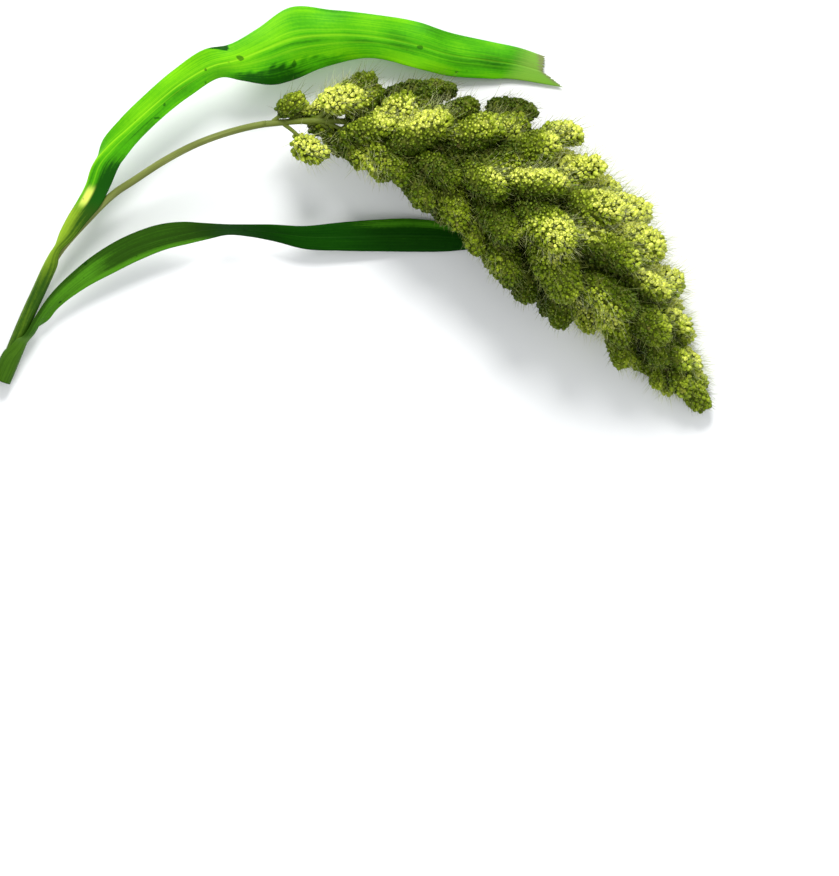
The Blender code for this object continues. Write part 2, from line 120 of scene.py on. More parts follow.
class Line:
    # a smooth line through points, with a frame: along it, to its right in plan, and over it
    def __init__(self, points):
        self.points = np.asarray(points, float)
        self.stations = chordLengths(self.points)
        self.length = self.stations[-1]

    def at(self, distance):
        step = 0.2
        distance = np.atleast_1d(distance)
        point = hermite(self.stations, self.points, distance)
        ahead = hermite(self.stations, self.points, np.minimum(distance + step, self.length))
        behind = hermite(self.stations, self.points, np.maximum(distance - step, 0.0))
        along = unit(ahead - behind)
        right = unit(np.cross(along, (0.0, 0.0, 1.0)))
        return point, along, right, np.cross(right, along)


# Meshes


def addPiece(name, points, triangles, material, numbers=None):
    mesh = bpy.data.meshes.new(name)
    mesh.vertices.add(len(points))
    mesh.vertices.foreach_set("co", (np.asarray(points) * mm).astype(np.float32).ravel())
    mesh.loops.add(triangles.size)
    mesh.loops.foreach_set("vertex_index", triangles.astype(np.int32).ravel())
    mesh.polygons.add(len(triangles))
    mesh.polygons.foreach_set("loop_start", np.arange(0, triangles.size, 3, dtype=np.int32))
    mesh.update(calc_edges=True)
    mesh.shade_smooth()
    for label, values in (numbers or {}).items():
        layer = mesh.attributes.new(label, "FLOAT", "POINT")
        layer.data.foreach_set("value", np.asarray(values, np.float32).ravel())
    mesh.materials.append(material)
    piece = bpy.data.objects.new(name, mesh)
    bpy.context.scene.collection.objects.link(piece)
    print(name, len(triangles), "triangles")
    return piece


def gridTriangles(rows, columns, wrapped=False):
    # two triangles for each cell of a grid of points; wrapped joins the last column to the first
    r, c = np.meshgrid(np.arange(rows - 1), np.arange(columns if wrapped else columns - 1), indexing="ij")
    a = (r * columns + c).ravel()
    b = (r * columns + (c + 1) % columns).ravel()
    d = a + columns
    e = b + columns
    return np.concatenate([np.stack([a, b, e], 1), np.stack([a, e, d], 1)])


def closedRings(rings, sides):
    # the triangles of rings of points, each end closed by a fan round one of the last two points
    first = np.arange(sides)
    last = first + (rings - 1) * sides
    start = np.full(sides, rings * sides)
    foot = np.stack([start, np.roll(first, -1), first], 1)
    tip = np.stack([start + 1, last, np.roll(last, -1)], 1)
    return np.concatenate([gridTriangles(rings, sides, True)[:, ::-1], foot, tip])


def copies(triangles, size, count):
    # the triangles of a small shape of so many points, repeated for every copy of it
    offsets = np.arange(count)[:, None, None] * size
    return (triangles[None] + offsets).reshape(-1, 3)


def joined(shapes):
    # the points and the triangles of several shapes as one
    bases = np.cumsum([0] + [len(points) for points, _ in shapes[:-1]])
    triangles = [faces + base for (_, faces), base in zip(shapes, bases)]
    return np.concatenate([points for points, _ in shapes]), np.concatenate(triangles)


def tubeOf(line, distances, radii, sides, ridges=None):
    # rings round a line, closed at both ends; ridges is the added radius at each angle
    point, _, right, over = line.at(distances)
    angles = turns(sides)
    radius = np.asarray(radii)[:, None]
    if ridges is not None:
        radius = radius + ridges(distances[:, None], angles[None])
    rings = point[:, None] + radius[..., None] * spokes(angles[None], right[:, None], over[:, None])
    points = np.concatenate([rings.reshape(-1, 3), point[:1], point[-1:]])
    return points, outwards(points, closedRings(len(distances), sides))


def outwards(points, triangles):
    # turns every triangle round when the closed mesh they make has its faces pointing in
    a, b, c = (points[triangles[:, i]] for i in range(3))
    volume = np.einsum("ij,ij->", a, np.cross(b, c))
    return triangles if volume > 0 else triangles[:, ::-1]


# Materials


class Wire:
    # one output of a shader node; arithmetic on it adds Math nodes
    def __init__(self, tree, socket):
        self.tree = tree
        self.socket = socket

    def add(self, kind, settings=None, inputs=None, output=0):
        node = self.tree.nodes.new(kind)
        for label, setting in (settings or {}).items():
            if label == "stops":
                stops = node.color_ramp.elements
                while len(stops) < len(setting):
                    stops.new(0.5)
                for stop, (position, colour) in zip(stops, setting):
                    stop.position = position
                    stop.color = (*colour, 1.0)
            else:
                setattr(node, label, setting)
        for label, given in (inputs or {}).items():
            if isinstance(given, Wire):
                self.tree.links.new(given.socket, node.inputs[label])
            else:
                node.inputs[label].default_value = given
        return Wire(self.tree, node.outputs[output])

    def maths(self, operation, *values):
        return self.add("ShaderNodeMath", {"operation": operation}, dict(enumerate(values)))

    def mix(self, other, share):
        # this colour, turned into the other one by a share
        other = (*other, 1.0) if isinstance(other, tuple) else other
        return self.add("ShaderNodeMix", {"data_type": "RGBA"}, {0: share, 6: self, 7: other}, 2)

    def clamped(self):
        return self.add("ShaderNodeClamp", None, {0: self})

    def __add__(self, other):
        return self.maths("ADD", self, other)

    def __sub__(self, other):
        return self.maths("SUBTRACT", self, other)

    def __rsub__(self, other):
        return self.maths("SUBTRACT", other, self)

    def __mul__(self, other):
        return self.maths("MULTIPLY", self, other)

    __radd__ = __add__
    __rmul__ = __mul__


class Finish:
    # a material being made: its Principled shader, and where its patterns start from
    def __init__(self, name, roughness, gloss=0.5):
        self.material = bpy.data.materials.new(name)
        self.material.use_nodes = True
        self.tree = self.material.node_tree
        self.shader = self.tree.nodes["Principled BSDF"]
        self.shader.inputs["Roughness"].default_value = roughness
        self.shader.inputs["Specular IOR Level"].default_value = gloss
        self.start = Wire(self.tree, None)

    def number(self, label):
        return self.start.add("ShaderNodeAttribute", {"attribute_name": label}, None, "Fac")

    def places(self):
        return self.start.add("ShaderNodeTexCoord", None, None, "Object")

    def noise(self, vector, scale, detail=2.0):
        inputs = {"Vector": vector, "Scale": scale, "Detail": detail}
        return self.start.add("ShaderNodeTexNoise", None, inputs)

    def streaks(self, alongScale, acrossScale, cut, detail=2.0):
        # noise drawn out along a piece
        along = self.number("along") * alongScale
        across = self.number("across") * acrossScale
        vector = self.start.add("ShaderNodeCombineXYZ", None, {0: along, 1: across, 2: cut})
        return self.noise(vector, 1.0, detail)

    def ramp(self, value, *stops):
        return self.start.add("ShaderNodeValToRGB", {"stops": stops}, {0: value})

    def colour(self, wire):
        self.tree.links.new(wire.socket, self.shader.inputs["Base Color"])

    def rough(self, wire):
        self.tree.links.new(wire.socket, self.shader.inputs["Roughness"])

    def bump(self, height, strength, distance):
        inputs = {"Height": height, "Strength": strength, "Distance": distance}
        relief = self.start.add("ShaderNodeBump", None, inputs)
        self.tree.links.new(relief.socket, self.shader.inputs["Normal"])


# Stalk

stalk = {
    "linePx": (
        (0, 380), (36, 296.5), (60.5, 249), (71, 236.5), (87, 219.5), (102, 204), (115, 192.5),
        (134, 180), (160, 163), (193, 145.3), (226, 133), (252, 126.2), (266, 123.6),
    ),
    "radiusCut": 1.6,
    "radiusHead": 1.25,
    "heightCut": 4.05,
    "heightHead": 25.0,
    "rings": 200,
    "sides": 72,
    "ribs": 18,
    "ribDepth": 0.035,
    "ribWander": (0.6, 9.0),  # how far the ribs wander round the stalk, and over what length
    "cutOver": 0.1,
    "paintedShadeOver": 18.0,  # the last stretch, which darkens into the head with painted shade
    "paintedShadeMost": 0.5,
}


def stalkFinish():
    # fine ribs and clouds along the stem, painted shade inside the head and pale where it is cut
    finish = Finish("freshStalk", 0.5, 0.2)
    ribs = finish.streaks(0.02, 9.0, 0.0, 3.0)
    cloud = finish.streaks(0.06, 0.5, 3.0)
    tone = (0.5 + 0.9 * (ribs - 0.5) + 0.7 * (cloud - 0.5)).clamped()
    stops = ((0.0, (0.06, 0.08, 0.012)), (0.5, (0.15, 0.18, 0.035)), (1.0, (0.36, 0.40, 0.13)))
    # painted shade where the stalk runs into the head
    green = finish.ramp(tone, *stops).mix((0.115, 0.155, 0.010), 0.75 * finish.number("hidden"))
    finish.colour(green.mix((0.45, 0.50, 0.22), finish.number("cut")))
    finish.bump(ribs, 0.3, 0.0003)
    return finish.material


def stalkLine():
    # the stalk's middle line, which rises evenly from the cut to the head
    flat = np.array([place(px, py, 0.0) for px, py in stalk["linePx"]])
    rise = chordLengths(flat) / chordLengths(flat)[-1]
    flat[:, 2] = stalk["heightCut"] + (stalk["heightHead"] - stalk["heightCut"]) * rise
    return Line(flat)


def makeStalk():
    # a tube that narrows evenly along the line, ribbed by a cosine that wanders round it
    line = stalkLine()
    distances = np.linspace(0.0, line.length, stalk["rings"])
    radii = np.linspace(stalk["radiusCut"], stalk["radiusHead"], stalk["rings"])
    wander, wanderLength = stalk["ribWander"]

    def ribs(distance, angle):
        return stalk["ribDepth"] * np.cos(stalk["ribs"] * angle + wander * np.sin(distance / wanderLength))

    points, triangles = tubeOf(line, distances, radii, stalk["sides"], ribs)
    along = np.concatenate([np.repeat(distances, stalk["sides"]), [0.0, line.length]])
    numbers = {
        "along": along,
        "across": np.concatenate([np.tile(np.cos(turns(stalk["sides"])), stalk["rings"]), [0.0, 0.0]]),
        "cut": np.where(along < stalk["cutOver"], 1.0, 0.0),
        # painted shade over the last stretch, where the stalk runs into the head
        "hidden": stalk["paintedShadeMost"] * smoothstep(line.length - stalk["paintedShadeOver"], line.length, along),
    }
    return addPiece("freshStalk", points, triangles, stalkFinish(), numbers)


# Leaves

sheath = {
    "wrap": math.radians(163),  # how far it reaches round the stalk on either side of the midrib
    "wrapAtCollar": math.radians(100),
    "opening": 9.0,  # the stretch below the collar where it opens
    "openingSections": 4,
    "step": 4.0,
    "thickness": 0.5,
}

# What both blades share.
blade = {
    "shapeBlend": (-4.0, 8.0),  # where the sheath turns into the blade, from the end of the sheath's tube
    "colourBlend": (-4.0, 4.0),
    "tornOver": 9.0,
    "tornPull": 1.8,
    "wavesEnd": 40.0,
    "thickness": 0.3,
    "veinHeight": 0.05,
    "midribHalf": 0.045,
    "groove": 0.4,
    "veinsBelow": 0.6,
    "marginThickness": 0.35,
    "marginOver": 0.12,
    "lowest": 0.15,
    "roughness": 0.42,
    "bump": (0.25, 0.0003),
    "speckScale": 900.0,
    "spotScale": 300.0,
    "spotFrom": 0.785,
}

# Stations run from the end of the sheath's tube to the tip: (midrib px, height), (front edge px, height
# over the midrib), (back edge px, height over the midrib), bulge of the front half, bulge of the back half.
flagLeaf = {
    "name": "flagLeaf",
    "stations": (
        ((59.5, 233, 12.3), (72, 239.5, 2.8), (70.5, 238.5, -2.6), 1.9, -1.9),
        ((67, 218, 13.1), (85, 223.5, 3.0), (83, 221.5, -2.6), 2.0, -2.0),
        ((76.5, 202, 13.9), (99, 207, 3.4), (98, 206, -2.6), 2.0, -2.0),
        ((85.5, 184, 15.2), (109, 188.5, 2.5), (107, 185.5, -2.6), 2.0, -2.0),
        ((91.5, 166, 17.2), (118, 168, 2.2), (99.5, 161, -3.8), 1.2, -1.6),
        ((107, 147, 19.0), (125, 157.5, 1.2), (101.5, 142, -2.6), 0.6, -0.6),
        ((128, 128, 20.6), (139, 140, 0.4), (119.7, 119, -1.2), 0.4, 0.2),
        ((154, 105, 21.6), (163.5, 116.5, -0.8), (143, 96, -0.6), 0.3, 0.5),
        ((183, 82, 22.2), (191.3, 94.8, -1.6), (172.8, 70.2, -0.6), 0.3, 0.6),
        ((215, 65, 22.2), (222.5, 77, -2.4), (206, 48.5, 0.4), 0.4, 0.2),
        ((236, 60, 21.6), (241, 80.2, -3.0), (228, 44.5, 0.2), 0.5, 0.2),
        ((264, 49, 20.4), (271, 84.5, -4.4), (257, 28.5, -0.8), 1.2, 0.6),
        ((290, 39, 18.8), (291.5, 80, -6.0), (287, 8, -1.8), 1.6, 1.0),
        ((330, 34.5, 15.8), (325, 66.5, -4.6), (332, 9.5, -1.6), 1.2, 0.8),
        ((370, 36, 12.6), (367, 57.5, -1.6), (371, 13.5, -1.4), 0.6, 0.8),
        ((420, 45.5, 8.8), (419, 68.4, -1.4), (420, 21.8, -1.2), 0.6, 0.6),
        ((449, 54, 6.6), (447, 75, -1.2), (448, 31.2, -1.0), 0.5, 0.5),
        ((491, 60, 4.0), (489, 78, -1.0), (491, 40.8, -0.8), 0.4, 0.4),
        ((524, 65.5, 2.6), (522, 79.6, -0.8), (524, 48.2, -0.6), 0.3, 0.3),
        ((540, 70, 2.1), (560, 86, -0.8), (542, 54.5, -0.5), 0.2, 0.2),
    ),
    "sheathRadius": 2.5,
    "collarAt": 55.0,
    "bladeFrom": 74.0,
    "midribSide": -1,
    "rows": 380,
    "cells": 60,
    "veins": 15,
    "midribHeight": 0.35,
    "wave": 0.5,
    "torn": 1.1,
    "dulled": 0.0,
    "colours": {
        "gloss": 0.08,
        "deep": (0.006, 0.072, 0.0005),
        "middle": (0.062, 0.37, 0.002),
        "bright": (0.21, 0.62, 0.003),
        "vein": (0.30, 0.68, 0.012),
        "sheathDeep": (0.022, 0.075, 0.003),
        "sheathBright": (0.27, 0.44, 0.02),
        "pale": (0.68, 0.80, 0.12),
        "yellowed": (0.24, 0.42, 0.06),
        "dry": (0.20, 0.16, 0.10),
    },
}

lowerLeaf = {
    "name": "lowerLeaf",
    "stations": (
        ((34, 333, 6.8), (23.5, 335, 4.0), (24.5, 333, -3.9), 2.4, -2.4),
        ((42, 319, 8.0), (34.5, 316.5, 2.8), (45.5, 321.5, -2.4), 0.8, -0.8),
        ((52, 306, 8.9), (45.2, 300.2, 2.0), (56, 309.5, -2.2), 0.4, -0.6),
        ((80, 281, 10.2), (72.5, 271.5, 1.4), (85, 287.6, -1.6), 0.2, 0.1),
        ((108, 262, 11.2), (100.5, 249.8, 1.0), (114, 272.2, -1.8), 0.3, 0.4),
        ((136, 247, 11.8), (129.6, 234, 0.8), (139.5, 259.6, -1.8), 0.3, 0.5),
        ((161, 239, 12.0), (157, 224.5, 1.0), (164, 249.6, -2.0), 0.3, 0.5),
        ((186, 233.4, 12.0), (183, 221.5, 2.0), (188, 243.5, -2.6), 0.2, 0.3),
        ((206, 230, 11.8), (204, 222.8, 3.0), (207, 239, -3.4), 0.1, 0.1),
        ((226, 229, 11.4), (225, 224, 3.6), (227, 234.6, -3.8), 0.0, 0.0),
        ((248, 230, 10.8), (246, 224.2, 3.2), (249, 236.2, -3.4), 0.0, 0.1),
        ((274, 232.4, 9.8), (272, 224.2, 2.2), (275, 241.2, -2.4), 0.2, 0.2),
        ((302, 236, 8.4), (301, 225.6, 1.2), (303, 248.4, -1.6), 0.3, 0.3),
        ((341, 236.6, 6.4), (340, 222, 0.2), (342, 250.4, -1.0), 0.4, 0.4),
        ((380, 236, 4.5), (379, 219, -0.4), (381, 251, -0.8), 0.4, 0.4),
        ((414, 236, 3.1), (413, 218.2, -0.6), (415, 251.4, -0.8), 0.4, 0.4),
        ((446, 237, 2.1), (445, 222.4, -0.6), (447, 251, -0.7), 0.3, 0.3),
        ((471, 239.6, 1.5), (470, 231, -0.4), (471, 248.6, -0.5), 0.2, 0.2),
        ((492, 243, 1.0), (492, 240.6, -0.1), (492, 245.4, -0.1), 0.0, 0.0),
    ),
    "sheathRadius": 3.58,
    "collarAt": 17.0,
    "bladeFrom": 19.0,
    "midribSide": 1,
    "rows": 320,
    "cells": 44,
    "veins": 11,
    "midribHeight": 0.3,
    "wave": 0.0,
    "torn": 0.0,
    "dulled": 0.28,  # how far the first stretch, up to the twist, is duller
    "colours": {
        "gloss": 0.03,
        "deep": (0.002, 0.034, 0.0003),
        "middle": (0.007, 0.062, 0.0008),
        "bright": (0.085, 0.33, 0.010),
        "vein": (0.020, 0.10, 0.006),
        "sheathDeep": (0.010, 0.060, 0.002),
        "sheathBright": (0.09, 0.24, 0.012),
        "pale": (0.16, 0.34, 0.06),
        "yellowed": (0.062, 0.11, 0.012),
        "dry": (0.13, 0.07, 0.02),
    },
}


def leafFinish(name, colours):
    # long streaks between the veins, painted light and shade, a pale midrib and collar, small dark spots and
    # a dry brown tip
    finish = Finish(name, blade["roughness"], colours["gloss"])
    streaks = finish.streaks(0.03, 26.0, 0.0, 3.0)
    fineStreaks = finish.streaks(0.12, 90.0, 4.0)
    patches = finish.streaks(0.05, 1.6, 9.0, 3.0)
    ribbons = finish.streaks(0.02, 9.0, 2.0)
    specks = finish.noise(finish.places(), blade["speckScale"])
    # the light number is painted light and shade along the blade
    tone = finish.number("light") + 0.7 * (streaks - 0.5) + 0.5 * (fineStreaks - 0.5)
    tone = tone + 0.4 * (patches - 0.5) + 0.5 * (ribbons - 0.5) + 0.2 * (specks - 0.5)
    tone = tone.clamped()
    green = finish.ramp(tone, (0.0, colours["deep"]), (0.45, colours["middle"]), (1.0, colours["bright"]))
    green = green.mix(colours["vein"], finish.number("vein") * (0.6 + 0.8 * (fineStreaks - 0.5)))
    olive = finish.ramp(tone, (0.0, colours["sheathDeep"]), (0.9, colours["sheathBright"]))
    green = green.mix(olive, finish.number("sheath"))
    green = green.mix(colours["pale"], finish.number("pale"))
    green = green.mix(colours["yellowed"], finish.number("yellowed"))
    spots = finish.noise(finish.places(), blade["spotScale"], 0.0)
    green = green.mix(colours["deep"], 0.7 * ((spots - blade["spotFrom"]) * 30.0).clamped())
    green = green.mix(colours["dry"], (finish.number("dry") * (0.6 + 1.2 * specks)).clamped())
    finish.colour(green)
    finish.rough(blade["roughness"] + 0.25 * (streaks - 0.5))
    finish.bump(fineStreaks + 0.4 * specks, *blade["bump"])
    return finish.material


def sheathSection(leaf, line, distance, across):
    # an arc round the stalk whose middle is the midrib, opening smoothly towards the collar
    point, _, right, over = line.at(distance)
    opened = smoothstep(leaf["collarAt"] - sheath["opening"], leaf["collarAt"], distance)
    angle = across * (sheath["wrap"] + (sheath["wrapAtCollar"] - sheath["wrap"]) * opened)
    return point + leaf["sheathRadius"] * spokes(angle, right * leaf["midribSide"], over)


def bladeSection(station, across):
    # a half curve from the midrib to each edge, both parabolas bulging by their own height
    (midX, midY, height), front, back, frontBulge, backBulge = station
    mid = place(midX, midY, height)
    t = np.abs(across)[:, None]
    halves = []
    for (px, py, rise), bulge in ((back, backBulge), (front, frontBulge)):
        edge = place(px, py, height + rise)
        control = (mid + edge) / 2 + np.array([0.0, 0.0, bulge])
        halves.append((1 - t) ** 2 * mid + 2 * t * (1 - t) * control + t**2 * edge)
    return np.where(across[:, None] < 0, halves[0], halves[1])


def leafSurface(leaf):
    # a smooth curve along the leaf through every point of its sections
    line = stalkLine()
    across = np.linspace(-1.0, 1.0, leaf["cells"] + 1)
    opens = leaf["collarAt"] - sheath["opening"]
    closedPart = np.arange(0.0, opens, sheath["step"])
    openingPart = np.linspace(opens, leaf["collarAt"], sheath["openingSections"])[1:]
    sections = [sheathSection(leaf, line, s, across) for s in np.concatenate([closedPart, openingPart])]
    sections += [bladeSection(station, across) for station in leaf["stations"]]
    sections = np.array(sections)
    stations = chordLengths(sections[:, leaf["cells"] // 2])
    along = np.linspace(0.0, stations[-1], leaf["rows"])
    return hermite(stations, sections, along), along, across


def sawTeeth(values):
    return np.abs(np.mod(values, 1.0) - 0.5)


def skin(surface, upwards, downwards):
    # a closed shell round a surface: its points moved both ways, and a rim round the edges
    points = np.concatenate([(surface + upwards).reshape(-1, 3), (surface - downwards).reshape(-1, 3)])
    points[:, 2] = np.maximum(points[:, 2], blade["lowest"])
    rows, columns = surface.shape[:2]
    face = gridTriangles(rows, columns)
    under = rows * columns
    rim = np.concatenate([
        np.arange(columns),
        np.arange(1, rows) * columns + columns - 1,
        (rows - 1) * columns + np.arange(columns - 2, -1, -1),
        np.arange(rows - 2, 0, -1) * columns,
    ])
    beside = np.roll(rim, -1)
    edge = [np.stack([rim, under + rim, under + beside], 1), np.stack([rim, under + beside, beside], 1)]
    return points, outwards(points, np.concatenate([face, face[:, ::-1] + under, *edge]))


def makeLeaf(leaf, light, vein, pale):
    # the leaf's surface, torn back at the tip and waved at the margins, as a shell with veins and a keel
    surface, along, across = leafSurface(leaf)
    s = along[:, None]
    v = across[None]
    end = along[-1]
    bladeShare = smoothstep(*(leaf["bladeFrom"] + np.array(blade["shapeBlend"])), s)
    teeth = sawTeeth(v * 7.3 + 0.4 * np.sin(9 * v)) + 0.5 * sawTeeth(v * 17.0)
    pulled = leaf["torn"] * (2 * teeth - blade["tornPull"]) * smoothstep(end - blade["tornOver"], end, s)
    surface = surface - unit(np.gradient(surface, axis=0)) * pulled[..., None]
    waves = leaf["wave"] * bladeShare * v**2 * (np.sin(s / 5.2 + 1.5 * v) + 0.6 * np.sin(s / 2.9 + 2 + v))
    surface[..., 2] += waves * smoothstep(0.0, blade["wavesEnd"], end - s)
    normal = unit(np.cross(np.gradient(surface, axis=0), np.gradient(surface, axis=1)))
    if normal[leaf["rows"] // 2 :, :, 2].mean() < 0:
        normal = -normal
    # veins stand out on both faces, and the midrib is a keel below and a groove above
    ridges = blade["veinHeight"] * (0.5 + 0.5 * np.cos(2 * np.pi * leaf["veins"] * v)) ** 2
    keel = leaf["midribHeight"] * bell(v, 0.0, blade["midribHalf"]) * bladeShare
    half = (blade["thickness"] + (sheath["thickness"] - blade["thickness"]) * (1 - bladeShare)) / 2
    thin = blade["marginThickness"]
    half = half * (thin + (1 - thin) * smoothstep(0.0, blade["marginOver"], 1 - np.abs(v)))
    upwards = normal * (half + ridges - blade["groove"] * keel)[..., None]
    downwards = normal * (half + blade["veinsBelow"] * ridges + keel)[..., None]
    points, triangles = skin(surface, upwards, downwards)
    x, _ = pixels(surface)
    tipYellow = 0.6 * leaf["torn"] * smoothstep(end - 12.0, end - 3.0, s + 3.0 * teeth + 2.0 * v)
    fields = {
        "along": s,
        "across": v,
        # painted light and shade, drawn over the leaf from its pixels and its place across
        "light": light(x, s, v),
        "vein": vein(s, v) * bladeShare,
        "pale": pale(s, v),
        "sheath": 1 - smoothstep(*(leaf["bladeFrom"] + np.array(blade["colourBlend"])), s),
        "yellowed": tipYellow + leaf["dulled"] * smoothstep(235.0, 190.0, x),
        "dry": 0.5 * leaf["torn"] * smoothstep(end - 1.4, end - 0.3, s + 1.4 * teeth - v),
    }
    numbers = {label: np.tile(np.broadcast_to(field, x.shape).ravel(), 2) for label, field in fields.items()}
    return addPiece(leaf["name"], points, triangles, leafFinish(leaf["name"], leaf["colours"]), numbers)


def flagLight(x, s, v):
    # painted light and shade: brightest along the arch, with a shaded lower band where the blade is widest,
    # a shaded throat and a small shaded fold in the back margin
    ragged = 0.03 * np.sin(x / 1.7 + 9 * v) + 0.05 * np.sin(x / 6.3 + 2) + 0.03 * np.sin(x / 2.9 + 30 * v)
    bends = 0.1 * smoothstep(290, 345, x) + 0.1 * smoothstep(252, 238, x)
    band = smoothstep(0.48, 0.66, v + ragged - bends) * bell(x, 286, 57, 8)
    band *= 0.9 + 0.12 * np.sin(x / 7.0 - 4 * v)
    throat = bell(s, 80, 17) * smoothstep(0.2, 0.66, v)
    grown = np.clip((x - 206) / 22, 0.0, 1.0)
    fold = smoothstep(0.0, 0.08, -v - 0.98 + 0.36 * grown) * smoothstep(228.5, 227.5, x)
    neck = 0.22 * bell(x, 190, 60) * smoothstep(0.9, -0.4, v)
    waves = 0.09 * np.sin(x / 17.0 + 2.2 * v) + 0.05 * np.sin(x / 7.3 - 3 * v)
    nearTip = 0.12 * smoothstep(400, 460, x)
    nearCut = 0.36 * smoothstep(50, 36, s) + 0.14 * smoothstep(32, 18, s)
    lowHalf = 0.14 * smoothstep(0.05, 0.3, v) * smoothstep(235, 205, x)
    middle = 0.14 * bell(v, 0.1, 0.4) * smoothstep(285, 330, x)
    backMargin = smoothstep(-0.5, -0.85, v) * smoothstep(340, 300, x)
    margins = 0.16 * (backMargin + smoothstep(0.3, 0.7, v)) * smoothstep(250, 320, x)
    collar = 0.42 * bell(v, 0.0, 0.5) * smoothstep(42, 56, s) * smoothstep(78, 68, s)
    bright = 0.55 + neck + waves + margins + collar
    return bright - lowHalf - middle - 0.58 * band - 0.8 * throat - 0.8 * fold - nearTip - nearCut


def flagVein(s, v):
    # the midrib and two paler veins, which fade towards the tip
    mid = bell(v, 0.0, 0.04) * (1 + 0.6 * smoothstep(190, 150, s))
    sides = 0.7 * (bell(v, 0.28, 0.022) + bell(v, -0.22, 0.022))
    return (mid + sides) * (1 - 0.6 * smoothstep(190, 240, s))


def flagPale(s, v):
    # a pale yellow patch on the back of the collar
    return smoothstep(0.22, 0.08, np.abs(v - 0.28)) * bell(s, 77.5, 4.0, 4)


def lowerLight(x, s, v):
    # painted light and shade: a lit patch near the foot of the blade, and a lit lower margin up to the twist
    patch = bell(x, 68, 38, 4) * smoothstep(0.95, 0.35, v)
    margin = smoothstep(0.45, 0.8, -v) * smoothstep(226, 186, x) * smoothstep(60, 100, x)
    farTop = smoothstep(0.3, 0.7, v) * smoothstep(320, 390, x)
    shade = 0.14 * smoothstep(180, 240, x) + 0.12 * smoothstep(16, 8, s)
    return 0.36 + 0.54 * patch + 0.66 * margin + 0.52 * farTop - shade


def lowerVein(s, v):
    return 0.5 * bell(v, 0.0, 0.04)


def lowerPale(s, v):
    # a faint pale line at the collar
    return 0.4 * bell(s, 19.0, 2.0)


# Seed head

head = {
    "line": (
        (300, 121, 25.0, 5.0), (350, 122, 25.2, 15.0), (405, 136, 25.6, 22.5), (460, 159, 26.2, 26.2),
        (515, 190, 27.2, 30.0), (562, 226, 28.0, 32.2), (602, 266, 25.2, 27.7), (636, 305, 18.9, 21.2),
        (662, 346, 11.4, 12.9), (687, 383, 7.3, 8.3), (709, 413, 4.4, 2.4),
    ),
    "depthRatio": 0.92,
    "coreRatio": 0.5,
    "coreLeast": 0.96,
    "coreGrows": (14.0, 42.0),
    "coreShortOfTip": 10.0,
    "coreRings": 90,
    "coreSides": 28,
    "rachisStart": (263.0, 124.1, 24.9),
    "rachisTube": (80, 24, 1.25, 1.0),  # rings, sides and the radius at either end
    "branchTube": (16, 12, 0.85, 0.6),
    "branchBend": (0.8, 0.4, 0.3),
    # the stretch over which the rachis darkens with painted shade
    "paintedShadeOver": 12.0,
    "lowest": 0.14,
    "seed": 11,
}

lobe = {
    "start": 22.0,
    "end": 188.0,
    "spacing": 4.45,
    "bluntness": 0.75,
    "lengthBase": 4.6,
    "lengthShare": 0.36,
    "lengthMost": 14.5,
    "lengthSpread": 0.2,
    "widthShares": (0.42, 0.52),
    "leanFoot": 54.0,
    "leanTip": 20.0,
    "leanSpread": 0.15,
    "flatten": 0.45,  # how much of the lean stays for lobes on top and below
    "swing": 0.4,  # how far the lobes on top swing towards the outside of the arch
    "swingSpread": 0.35,
    "turnStart": 0.6,
    "turnSpread": 0.3,
    "reachShares": (0.92, 1.03),
    "reachSwing": 0.06,  # lobes on the inside of the arch reach a little further
    "leastReach": 0.3,
    "leastHalfWidth": 5.0,
    "tip": (195.0, 7.6, 4.6),
    "heartRings": 9,
    "heartSides": 14,
    "heartInside": (0.7, 0.55),  # how far a heart lies inside its lobe: its rings and its two ends
}

# Lobes at the foot, which stand apart: centre px and height, long axis px, half length, half width, and
# the px where the stalk of each leaves the rachis.
footLobes = (
    ((291, 105, 26.5), (14, -9), 6.0, 4.0, (273, 121.2)),
    ((309, 149, 24.0), (14, 8), 7.0, 4.3, (279, 120.6)),
    ((352, 92, 27.0), (28, -20), 11.0, 5.0, (318, 118)),
    ((306, 113, 21.0), (20, -2), 6.0, 2.8, (290, 120)),
    ((322, 128, 21.5), (16, 5), 5.5, 2.8, (304, 122)),
    ((334, 102, 19.0), (20, -10), 8.0, 4.8, (316, 119)),
    ((343, 99, 32.0), (22, -4), 8.0, 5.0, (324, 120)),
    ((362, 144, 27.0), (22, 14), 9.6, 5.8, (324, 121)),
    ((343, 144, 20.5), (20, 13), 7.8, 4.8, (318, 121)),
    ((386, 126, 30.0), (26, 4), 9.0, 5.6, (350, 122)),
    ((420, 93, 22.0), (30, -3), 14.0, 5.0, (398, 134)),
    ((512, 109, 22.0), (28, 4), 10.0, 4.4, (478, 150)),
    ((561, 134, 28.0), (24, 2), 8.0, 4.6, (528, 172)),
)

